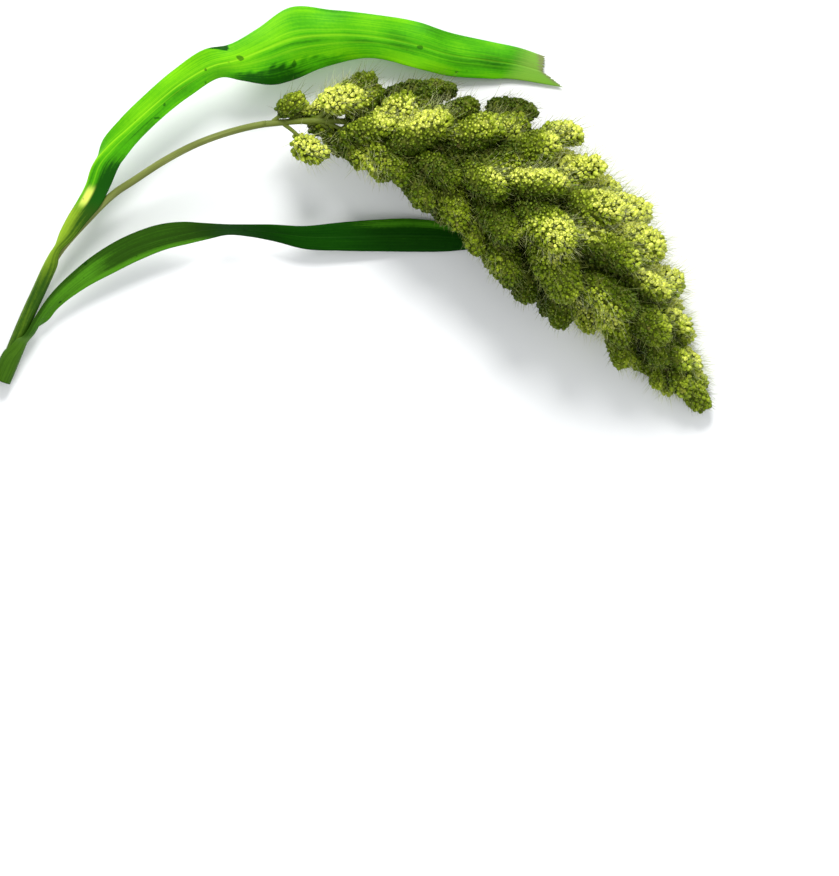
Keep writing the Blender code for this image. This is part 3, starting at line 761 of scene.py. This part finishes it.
grain = {
    "spacing": 1.66,
    "shift": 0.42,
    "cluster": 4.6,  # millimetres from one bunch of grains to the next on a lobe
    "clusterShift": 0.5,
    "clusterReach": 0.6,
    "clusterRise": 1.7,
    "riseSpread": (0.55, 1.0),
    "unripeRise": 0.65,
    "sink": 0.75,
    "splay": 0.55,
    "ripeLitAt": 0.4,  # where a lobe's share of the ripened and sunlit patches is taken, as a share of its half length
    "lobeToneSpread": 0.08,
    "halves": (1.0, 0.81, 0.76),  # half length, width and depth
    "eggShare": 0.12,
    "lean": 0.5,
    "jitter": 0.3,
    "sizeSpread": 0.28,
    "unripeEven": 0.45,  # how much less unripe grains stray, how much larger and deeper they are
    "unripeLarger": 0.1,
    "unripeDeeper": 0.3,
    "sinkSpread": (-0.6, 0.3),
    "lowest": (0.12, 0.02),  # the least height over the floor, and its spread
    "sunny": (0.1, 0.8, 0.6),  # the side painted as sunlit: grains facing it are brighter
    "blush": (-0.12, 0.16, 0.5),  # middle, spread and most
    "lobeTurn": 1.7,
    "clusterTurn": 2.3,
    "floorGap": 0.3,  # grains nearer to the floor, far inside another lobe or in the core are left out
    "insideShare": 0.9,
    "coreCover": 0.4,
    "seed": 23,
    "rings": 3,
    "sides": 6,
    "pieces": 5,
}

# What a grain's brightness is made of: painted sunlight on the sunny side, painted shade deeper in, and the
# ripened and sunlit patches.
grainTone = {
    "base": 0.155,
    # painted sunlight on the sunny side
    "sunny": 0.22,
    "outer": 0.06,
    "bunch": 0.10,
    "ripe": 0.41,
    "lobeRipe": 0.14,
    "spread": (0.035, 0.03),
    # painted shade: grains deeper in are darker
    "depth": 0.5,
    "depthRange": (0.3, 0.85, 1.0),  # least, where it changes nothing, and most
}

# Grains on the core: from where to how far short of its end, how many, how proud and how bright.
coreGrain = {
    "from": 34.0,
    "short": 4.0,
    "count": 3600,
    "proud": 0.6,
    "tone": -0.12,
    "bunch": 0.4,
}

# Where the head has ripened to yellow and where sunlight falls on it, partly painted light: middle px and
# half sizes px of each patch, and how strong it is.
ripeAndSunlitPatches = (
    (338, 103, 31, 17, 2.3), (362, 98, 14, 8, 0.8), (409, 114, 32, 14, 2.4), (384, 126, 14, 10, 0.8),
    (326, 130, 30, 10, 0.8), (492, 127, 28, 11, 0.6), (510, 130, 14, 10, 0.9), (452, 130, 16, 10, 0.7),
    (566, 138, 21, 18, 1.3), (532, 158, 18, 8, 0.9), (564, 153, 22, 12, 2.1), (518, 170, 34, 14, 1.9),
    (586, 170, 38, 20, 2.0), (624, 205, 28, 19, 2.0), (557, 238, 19, 23, 1.7), (530, 231, 14, 13, 1.1),
    (590, 229, 18, 15, 1.7), (634, 224, 34, 19, 1.3), (659, 265, 28, 26, 1.8), (684, 262, 12, 24, 1.2),
    (591, 307, 19, 18, 2.3), (601, 317, 23, 15, 2.2), (677, 296, 19, 30, 1.6), (691, 332, 12, 18, 1.3),
    (694, 356, 13, 30, 1.2), (664, 394, 24, 12, 0.9), (634, 370, 14, 12, 0.9), (308, 150, 24, 15, 1.5),
    (371, 164, 16, 26, 1.3), (466, 180, 12, 26, 0.4), (494, 264, 12, 14, 0.5),
)

# Where it is still dark green and where painted shade lies, in the same way.
shadyPatches = (
    (408, 88, 30, 11, 1.2), (447, 94, 34, 14, 1.1), (508, 104, 30, 10, 1.0), (547, 206, 29, 12, 1.5),
    (431, 175, 28, 14, 1.4), (450, 168, 15, 13, 1.4), (494, 216, 16, 16, 0.6), (510, 290, 20, 16, 0.9),
    (560, 286, 20, 16, 1.4), (557, 271, 22, 9, 1.0), (629, 299, 24, 22, 1.2), (652, 328, 16, 16, 1.1),
    (650, 290, 14, 10, 0.8), (600, 262, 20, 13, 0.4), (358, 80, 26, 10, 0.8), (684, 382, 14, 14, 0.4),
    (508, 148, 15, 8, 0.8), (574, 192, 15, 8, 0.8), (392, 150, 16, 8, 0.7),
)

bristle = {
    "perGrain": 0.62,
    "length": (2.5, 8.5),
    "radius": 0.07,
    "middleRadius": 0.75,
    "aim": 0.62,
    "spread": 0.42,
    "rootProud": 0.3,
    "droop": 0.25,
    "lowest": 0.1,
    "seed": 37,
    # the three sides of a hair: points 0 to 2 at its root, 3 to 5 at its middle and 6 at its tip
    "triangles": (
        (0, 1, 4), (0, 4, 3), (1, 2, 5), (1, 5, 4), (2, 0, 3), (2, 3, 5),
        (3, 4, 6), (4, 5, 6), (5, 3, 6), (0, 2, 1),
    ),
    "tipShares": (0.0, 0.0, 0.0, 0.6, 0.6, 0.6, 1.0),
}


def grainFinish():
    # husked grains: olive to yellow-green by grain, with painted sunlight and shade in their tone, paler
    # towards each tip
    finish = Finish("millGrain", 0.5, 0.2)
    specks = finish.noise(finish.places(), 1400.0)
    tone = (finish.number("tone") + 0.22 * (finish.number("tip") - 0.5) + 0.18 * (specks - 0.5)).clamped()
    husk = finish.ramp(
        tone,
        (0.0, (0.027, 0.045, 0.001)),
        (0.3, (0.073, 0.122, 0.002)),
        (0.55, (0.24, 0.325, 0.012)),
        (0.75, (0.50, 0.60, 0.045)),
        (1.0, (0.87, 0.92, 0.16)),
    )
    finish.colour(husk.mix((0.20, 0.10, 0.06), finish.number("blush")))
    finish.bump(specks, 0.2, 0.0002)
    return finish.material


def bristleFinish():
    # straw, from brown to pale by bristle, paler where the patches are ripened and sunlit (partly painted
    # light), and greener towards its root
    finish = Finish("bristle", 0.5, 0.3)
    stops = ((0.0, (0.10, 0.07, 0.035)), (0.45, (0.27, 0.28, 0.07)), (1.0, (0.82, 0.84, 0.46)))
    straw = finish.ramp(finish.number("tone"), *stops)
    finish.colour(straw.mix((0.30, 0.40, 0.06), 0.6 * (1 - finish.number("tip"))))
    return finish.material


def shadeFinish():
    # the imported stems and husks deep between the grains, dark with painted shade
    finish = Finish("shadedDeepHusks", 0.8, 0.1)
    patches = finish.noise(finish.places(), 420.0, 3.0)
    # painted shade: dark green husks deep between the grains
    finish.colour(finish.ramp(patches, (0.3, (0.045, 0.06, 0.004)), (0.7, (0.13, 0.16, 0.015))))
    finish.bump(patches, 0.6, 0.001)
    return finish.material


def headLine():
    return Line([place(px, py, height) for px, py, height, _ in head["line"]])


def halfWidthAt(distance):
    # the head's half width in plan at distances along its line
    widths = [halfWidth for *_, halfWidth in head["line"]]
    return hermite(headLine().stations, widths, distance)


def makeLobes():
    # centre, direction, half length, half width and place along the head of every lobe of grains
    line = headLine()
    random = np.random.default_rng(head["seed"])
    found = []
    distance = lobe["start"]
    turn = lobe["turnStart"]
    while distance < lobe["end"]:
        share = distance / line.length
        halfWidth = halfWidthAt(np.array([distance]))[0]
        length = min(lobe["lengthMost"], lobe["lengthBase"] + lobe["lengthShare"] * halfWidth)
        length *= random.uniform(1 - lobe["lengthSpread"], 1 + lobe["lengthSpread"])
        width = length * random.uniform(*lobe["widthShares"])
        lean = math.radians(lobe["leanFoot"] + (lobe["leanTip"] - lobe["leanFoot"]) * share**3)
        lean *= random.uniform(1 - lobe["leanSpread"], 1 + lobe["leanSpread"])
        angle = turn + random.uniform(-lobe["turnSpread"], lobe["turnSpread"])
        point, along, right, over = (row[0] for row in line.at(distance))
        aside, up = math.cos(angle), math.sin(angle)
        out = aside * right + up * over
        reach = halfWidth * math.hypot(aside, head["depthRatio"] * up)
        swing = lobe["swing"] + random.uniform(-1.0, 1.0) * lobe["swingSpread"]
        sideways = (aside - swing * max(up, 0.0)) * right + lobe["flatten"] * up * over
        direction = unit(math.cos(lean) * along + math.sin(lean) * sideways)
        aligned = direction @ out
        proud = math.hypot(length * aligned, width * math.sqrt(1 - aligned**2))
        reach *= random.uniform(*lobe["reachShares"]) + lobe["reachSwing"] * aside
        random.uniform(0.0, 2 * math.pi)  # the lobe's own turn, which its grains don't show
        centre = point + out * max(reach - proud, lobe["leastReach"] * reach)
        found.append((centre, direction, length, width, distance))
        around = 2 * math.pi * max(halfWidth, lobe["leastHalfWidth"])
        distance += lobe["spacing"] * length * width / around
        turn += goldenAngle
    distance, length, width = lobe["tip"]
    point, along, _, _ = (row[0] for row in line.at(distance))
    found.append((point, along, length, width, distance))
    for centre, axis, length, width, _ in footLobes:
        direction = unit(np.array([axis[0], -axis[1], 0.0]))
        found.append((place(*centre), direction, length, width, 0.0))
    return found


def lobeRadius(x):
    # a lobe's radius, as a share of its half width, at a share of its half length from its middle
    return np.maximum(1 - x**2, 0.0) ** (lobe["bluntness"] / 2)


def crossFrame(direction):
    # two directions square to each given one
    other = np.where(np.abs(direction[..., 2:]) > 0.8, (1.0, 0.0, 0.0), (0.0, 0.0, 1.0))
    first = unit(np.cross(direction, other))
    return first, np.cross(direction, first)


def lobeGrains(found, spacing, turn):
    # points on one lobe, an equal area apart along a golden spiral, with the surface's normals
    centre, direction, length, width, _ = found
    blunt = lobe["bluntness"]
    polar = np.linspace(0.02, np.pi - 0.02, 160)
    x = -np.cos(polar) * length
    r = np.sin(polar) ** blunt * width
    area = np.concatenate([[0.0], np.cumsum((r[1:] + r[:-1]) / 2 * np.hypot(np.diff(x), np.diff(r)))])
    count = max(12, round(2 * np.pi * area[-1] / (0.87 * spacing**2)))
    at = np.interp((np.arange(count) + 0.5) / count * area[-1], area, polar)
    out = spokes(np.arange(count) * goldenAngle + turn, *crossFrame(direction))
    sine = np.sin(at)[:, None]
    cosine = np.cos(at)[:, None]
    points = centre - cosine * length * direction + sine**blunt * width * out
    axial = -width * blunt * cosine / sine ** (1 - blunt)
    normals = unit(axial * direction + length * sine * out)
    return points, normals, -np.cos(at)


def insideLobe(points, found, swell):
    centre, direction, length, width, _ = found
    away = points - centre
    x = away @ direction
    r = np.linalg.norm(away - x[:, None] * direction, axis=1)
    return r < swell * width * lobeRadius(x / (length * swell))


def coreRadius(distance):
    radius = halfWidthAt(distance) * head["coreRatio"]
    return np.maximum(radius * smoothstep(*head["coreGrows"], distance), head["coreLeast"])


def nearestOnHead(points):
    # the place along the head's line nearest to each point, and how far away it is
    line = headLine()
    distances = np.linspace(0.0, line.length, 260)
    path = line.at(distances)[0]
    gaps = np.linalg.norm(points[:, None] - path[None], axis=2)
    nearest = gaps.argmin(1)
    return distances[nearest], gaps[np.arange(len(points)), nearest]


def coreGrains():
    # grains on the core, which show in the gaps between the lobes
    line = headLine()
    end = line.length - head["coreShortOfTip"] - coreGrain["short"]
    s = np.linspace(coreGrain["from"], end, coreGrain["count"])
    point, along, right, over = line.at(s)
    out = spokes(np.arange(len(s)) * goldenAngle, right, over)
    return {
        "point": point + out * (coreRadius(s) + coreGrain["proud"])[:, None],
        "normal": out,
        "lean": along,
        "lobeTone": np.full(len(s), coreGrain["tone"]),
        "lobeRipe": np.zeros(len(s)),
        "outer": np.full(len(s), -1.0),
        "lobe": np.full(len(s), -1),
        "bunch": np.full(len(s), coreGrain["bunch"]),
    }


def layGrains(lobes):
    # every grain that shows: where it sits, which way it points, and its lobe's place and brightness
    random = np.random.default_rng(grain["seed"])
    laid = []
    for number, found in enumerate(lobes):
        centre, direction, length, _, _ = found
        p, n, outer = lobeGrains(found, grain["spacing"], number * grain["lobeTurn"])
        moved = random.normal(0.0, grain["shift"], p.shape)
        p = p + moved - (moved * n).sum(1, keepdims=True) * n
        # grains sit in bunches: each bunch rises in its middle, and its grains splay from there
        bunches, _, _ = lobeGrains(found, grain["cluster"], number * grain["clusterTurn"])
        bunches = bunches + random.normal(0.0, grain["clusterShift"], bunches.shape)
        gaps = np.linalg.norm(p[:, None] - bunches[None], axis=2)
        nearest = gaps.argmin(1)
        fromMiddle = np.clip(gaps.min(1) / (grain["clusterReach"] * grain["cluster"]), 0.0, 1.0)
        rise = random.uniform(*grain["riseSpread"], len(bunches))[nearest] * grain["clusterRise"]
        flat = grain["unripeRise"]
        rise = rise * (flat + (1 - flat) * np.clip(ripeAndSunlit(p), 0.0, 1.0))
        p = p + n * (rise * (1 - fromMiddle**2) - grain["sink"])[:, None]
        ripeLitSpot = centre + direction * length * grain["ripeLitAt"]
        laid.append({
            "point": p,
            "normal": unit(n + grain["splay"] * (p - bunches[nearest]) / grain["cluster"]),
            "lean": np.broadcast_to(direction, p.shape),
            "lobeTone": np.full(len(p), random.normal(0.0, grain["lobeToneSpread"])),
            "lobeRipe": np.full(len(p), ripeAndSunlit(ripeLitSpot[None])[0]),
            "outer": outer,
            "lobe": np.full(len(p), number),
            "bunch": 1 - fromMiddle,
        })
    laid.append(coreGrains())
    laid = {label: np.concatenate([rows[label] for rows in laid]) for label in laid[0]}
    hidden = laid["point"][:, 2] < grain["floorGap"]
    for number, found in enumerate(lobes):
        inside = insideLobe(laid["point"], found, grain["insideShare"])
        hidden |= inside & (laid["lobe"] != number)
    distance, away = nearestOnHead(laid["point"])
    hidden |= (away < coreRadius(distance) - grain["coreCover"]) & (laid["lobe"] >= 0)
    laid["distance"] = distance
    laid["depth"] = np.clip(away / np.maximum(halfWidthAt(distance), 3.0), 0.0, 1.1)
    print("grains laid:", int((~hidden).sum()), "of", len(hidden))
    return {label: values[~hidden] for label, values in laid.items()}


def strongest(points, patches):
    # the strongest of the patches over each point, each a bell over an ellipse in plan
    px, py = pixels(points)
    found = np.zeros(len(points))
    for midX, midY, halfX, halfY, strength in patches:
        away = ((px - midX) / halfX) ** 2 + ((py - midY) / halfY) ** 2
        found = np.maximum(found, strength * np.exp(-0.8 * away**2))
    return found


# the ripened and sunlit patches, partly painted light, less the shady ones
def ripeAndSunlit(points):
    return strongest(points, ripeAndSunlitPatches) - 0.45 * strongest(points, shadyPatches)


def ripeAndSunlitShare(laid):
    return np.clip(ripeAndSunlit(laid["point"]), 0.0, 1.0)


# how far each grain faces the side painted as sunlit
def sunniness(laid):
    return smoothstep(-0.1, 1.0, laid["normal"] @ unit(np.array(grain["sunny"])))


def bulb(centre, axes, stations, radii, end, sides):
    # rings round an axis through a centre, closed at a point on the axis on either side
    direction, first, second = axes
    rings = stations[:, None, None] * direction + radii[:, None, None] * spokes(turns(sides), first, second)
    points = centre + np.concatenate([rings.reshape(-1, 3), [-end * direction, end * direction]])
    return points, outwards(points, closedRings(len(stations), sides))


def polarAngles(rings):
    # equal steps from one pole to the other, without the poles
    return np.pi * (np.arange(rings) + 1) / (rings + 1)


def grainShape():
    # an egg along X of unit half sizes: rings of points whose radius is largest behind the middle
    polar = polarAngles(grain["rings"])
    x = -np.cos(polar)
    return bulb(np.zeros(3), np.eye(3), x, np.sin(polar) * (1 - grain["eggShare"] * x), 1.0, grain["sides"])


def toneOf(laid, random):
    # a grain is brighter with painted sunlight on the sunny side, at its lobe's end, on a bunch and in the
    # ripened and sunlit patches, and darker with painted shade deeper in
    sunny = sunniness(laid)
    tone = grainTone["base"] + laid["lobeTone"] + grainTone["sunny"] * sunny
    tone += grainTone["outer"] * laid["outer"] + grainTone["bunch"] * laid["bunch"]
    ripe = grainTone["ripe"] * ripeAndSunlit(laid["point"]) + grainTone["lobeRipe"] * laid["lobeRipe"]
    tone += ripe * (0.5 + 0.5 * sunny)
    spread, ripeLitSpread = grainTone["spread"]
    tone += random.normal(0.0, 1.0, len(tone)) * (spread + ripeLitSpread * ripeAndSunlitShare(laid))
    # painted shade: grains deeper in the head are darker
    least, middle, most = grainTone["depthRange"]
    return tone + grainTone["depth"] * (np.clip(laid["depth"], least, most) - middle)


def makeGrains(laid):
    # each grain is the egg, pointed outwards and towards the lobe's end, at its own size
    random = np.random.default_rng(grain["seed"] + 1)
    shape, triangles = grainShape()
    count = len(laid["point"])
    unripe = 1 - ripeAndSunlitShare(laid)[:, None]
    even = 1 - grain["unripeEven"] * unripe
    jitter = random.normal(0.0, grain["jitter"], (count, 3)) * even
    aim = unit(laid["normal"] + grain["lean"] * laid["lean"] + jitter)
    size = 1 + grain["sizeSpread"] * even * random.uniform(-1.0, 1.0, (count, 1))
    size = size * (1 + grain["unripeLarger"] * unripe)
    sink = random.uniform(*grain["sinkSpread"], (count, 1)) * (1 - 0.5 * unripe)
    centre = laid["point"] + laid["normal"] * (sink - grain["unripeDeeper"] * unripe)
    axes = zip(grain["halves"], (aim, *crossFrame(aim)), shape.T)
    points = centre[:, None] + sum((half * size * axis)[:, None] * x[:, None] for half, axis, x in axes)
    lowest, lowestSpread = grain["lowest"]
    points[..., 2] = np.maximum(points[..., 2], lowest + lowestSpread * random.random((count, 1)))
    tone = toneOf(laid, random)
    blushMiddle, blushSpread, blushMost = grain["blush"]
    blush = np.clip(random.normal(blushMiddle, blushSpread, count), 0.0, blushMost)
    order = np.argsort(laid["distance"], kind="stable")
    material = grainFinish()
    for letter, chosen in zip("ABCDE", np.array_split(order, grain["pieces"])):
        numbers = {
            "tone": np.repeat(tone[chosen], len(shape)),
            "blush": np.repeat(blush[chosen], len(shape)),
            "tip": np.tile(shape[:, 0] * 0.5 + 0.5, len(chosen)),
        }
        faces = copies(triangles, len(shape), len(chosen))
        piece = addPiece("grains" + letter, points[chosen].reshape(-1, 3), faces, material, numbers)
        dress(piece, "seed_head")


def makeBristles(laid):
    # thin three-sided hairs that leave the lobes outwards and forwards, bending a little down
    random = np.random.default_rng(bristle["seed"])
    ripe = ripeAndSunlitShare(laid)
    sunny = sunniness(laid)
    share = 0.25 + 0.5 * smoothstep(0.5, 0.95, laid["depth"]) + 0.5 * ripe + 0.3 * sunny
    chosen = np.nonzero(random.random(len(ripe)) < bristle["perGrain"] * share)[0]
    count = len(chosen)
    normal = laid["normal"][chosen]
    stray = random.normal(0.0, bristle["spread"], (count, 3)) * 0.6
    aim = unit((normal + laid["lean"][chosen]) * bristle["aim"] + stray)
    grown = (0.55 + 0.5 * sunny + 0.35 * ripe)[chosen, None]
    length = random.uniform(*bristle["length"], (count, 1)) * grown
    root = laid["point"][chosen] + normal * bristle["rootProud"]
    sag = np.array([0.0, 0.0, -1.0]) * bristle["droop"] * length * random.random((count, 1))
    middle = root + aim * length * 0.5 + sag * 0.25
    tip = root + aim * length + sag
    first, second = crossFrame(aim)
    ring = spokes(turns(3)[None], first[:, None], second[:, None]) * bristle["radius"]
    rows = [root[:, None] + ring, middle[:, None] + ring * bristle["middleRadius"], tip[:, None]]
    points = np.concatenate(rows, 1)
    points[..., 2] = np.maximum(points[..., 2], bristle["lowest"])
    faces = copies(np.array(bristle["triangles"]), points.shape[1], count)
    # bristles are paler in the ripened and sunlit patches, partly painted light
    tone = np.clip(0.7 * random.beta(1.3, 1.5, count) + 0.5 * ripe[chosen], 0.0, 1.0)
    numbers = {"tone": np.repeat(tone, points.shape[1]), "tip": np.tile(bristle["tipShares"], count)}
    return addPiece("bristles", points.reshape(-1, 3), faces, bristleFinish(), numbers)


def makeLobeHearts(lobes):
    # the middles of the lobes, dark with painted shade, a little inside the grains, and the core that they
    # grow from
    polar = polarAngles(lobe["heartRings"])
    inside, endInside = lobe["heartInside"]
    shapes = []
    for centre, direction, length, width, _ in lobes:
        stations = -np.cos(polar) * (length - inside)
        radii = np.sin(polar) ** lobe["bluntness"] * (width - inside)
        axes = (direction, *crossFrame(direction))
        shapes.append(bulb(centre, axes, stations, radii, length - endInside, lobe["heartSides"]))
    line = headLine()
    distances = np.linspace(0.5, line.length - head["coreShortOfTip"], head["coreRings"])
    shapes.append(tubeOf(line, distances, coreRadius(distances), head["coreSides"]))
    points, triangles = joined(shapes)
    points[:, 2] = np.maximum(points[:, 2], head["lowest"])
    return addPiece("lobeHearts", points, triangles, shadeFinish())


def makeRachis():
    # the stem inside the head, up to where the lobes close over it, and the stalks of the foot lobes
    start = place(*head["rachisStart"])
    lines = [Line([start] + [place(px, py, height) for px, py, height, _ in head["line"][:4]])]
    for centre, _, _, _, root in footLobes:
        leaves = place(*root, start[2])
        end = place(*centre)
        lines.append(Line([leaves, (leaves + end) / 2 + head["branchBend"], end]))
    shapes = []
    along = []
    for line in lines:
        rings, sides, foot, tip = head["branchTube"] if shapes else head["rachisTube"]
        distances = np.linspace(0.0, line.length, rings)
        shapes.append(tubeOf(line, distances, np.linspace(foot, tip, rings), sides))
        along += [np.repeat(distances, sides), [0.0, line.length]]
    points, triangles = joined(shapes)
    numbers = {
        "along": np.concatenate(along),
        "across": np.sin(np.arange(len(points))),
        "cut": np.zeros(len(points)),
        # painted shade, growing along the rachis into the head
        "hidden": 0.5 + 0.5 * smoothstep(start[0], start[0] + head["paintedShadeOver"], points[:, 0]),
    }
    return addPiece("rachis", points, triangles, stalkFinish(), numbers)


# Floor, light and camera

studio = {
    "floorColour": (0.93, 0.93, 0.93),
    "floorHalf": 6.0,
    "worldColour": (0.95, 0.98, 1.0),
    "worldStrength": 0.8,
    "lampDistance": 1.6,
    "lampsOver": (0.03, -0.01, 0.0),
    # where each lamp shines from, its size and its power
    "lamps": {"key": ((0.0, 0.74, 0.74), 0.6, 24.0), "fill": ((0.5, -0.6, 0.8), 1.0, 2.0)},
}


def makeStage():
    mesh = bpy.data.meshes.new("floor")
    corners = [(-1, -1), (1, -1), (1, 1), (-1, 1)]
    half = studio["floorHalf"]
    mesh.from_pydata([(x * half, y * half, 0) for x, y in corners], [], [(0, 1, 2, 3)])
    finish = Finish("paleFloor", 0.7)
    finish.shader.inputs["Base Color"].default_value = (*studio["floorColour"], 1.0)
    mesh.materials.append(finish.material)
    floor = bpy.data.objects.new("floor", mesh)
    bpy.context.scene.collection.objects.link(floor)


def addLamp(name, fromWhere, size, power):
    # a round lamp that shines on the part from its own side
    lamp = bpy.data.lights.new(name, "AREA")
    lamp.shape = "DISK"
    lamp.size = size
    lamp.energy = power
    obj = bpy.data.objects.new(name, lamp)
    towards = unit(np.array(fromWhere))
    obj.location = towards * studio["lampDistance"] + studio["lampsOver"]
    obj.rotation_euler = Vector(towards).to_track_quat("Z", "Y").to_euler()
    bpy.context.scene.collection.objects.link(obj)


def makeLight():
    world = bpy.data.worlds.new("studio")
    bpy.context.scene.world = world
    world.use_nodes = True
    background = world.node_tree.nodes["Background"]
    background.inputs["Color"].default_value = (*studio["worldColour"], 1.0)
    background.inputs["Strength"].default_value = studio["worldStrength"]
    for name, settings in studio["lamps"].items():
        addLamp(name, *settings)
    bpy.context.scene.view_settings.view_transform = "Standard"


def makeCamera():
    # straight down on the part, with the photograph's middle pixel in the middle of the frame
    width, height = photo["sizePx"]
    middle = place(width / 2, height / 2, photo["sharpHeight"] + photo["cameraDistance"])
    lens = bpy.data.cameras.new("camera")
    lens.sensor_width = photo["sensor"]
    lens.lens = photo["sensor"] * photo["cameraDistance"] / (height * photo["mmPerPixel"])
    camera = bpy.data.objects.new("camera", lens)
    camera.location = middle * mm
    bpy.context.scene.collection.objects.link(camera)
    bpy.context.scene.camera = camera


def dress(piece, node):
    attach(piece, "root")
    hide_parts(node)


makeCamera()
makeStage()
makeLight()
print("stage set")

dress(makeStalk(), "stalk")
dress(makeLeaf(flagLeaf, flagLight, flagVein, flagPale), "flag_leaf")
dress(makeLeaf(lowerLeaf, lowerLight, lowerVein, lowerPale), "lower_leaf")
print("stalk and leaves made")

lobes = makeLobes()
print("lobes:", len(lobes))
laidGrains = layGrains(lobes)
makeGrains(laidGrains)
dress(makeBristles(laidGrains), "seed_head")
dress(makeLobeHearts(lobes), "seed_head")
dress(makeRachis(), "seed_head")
print("seed head made")
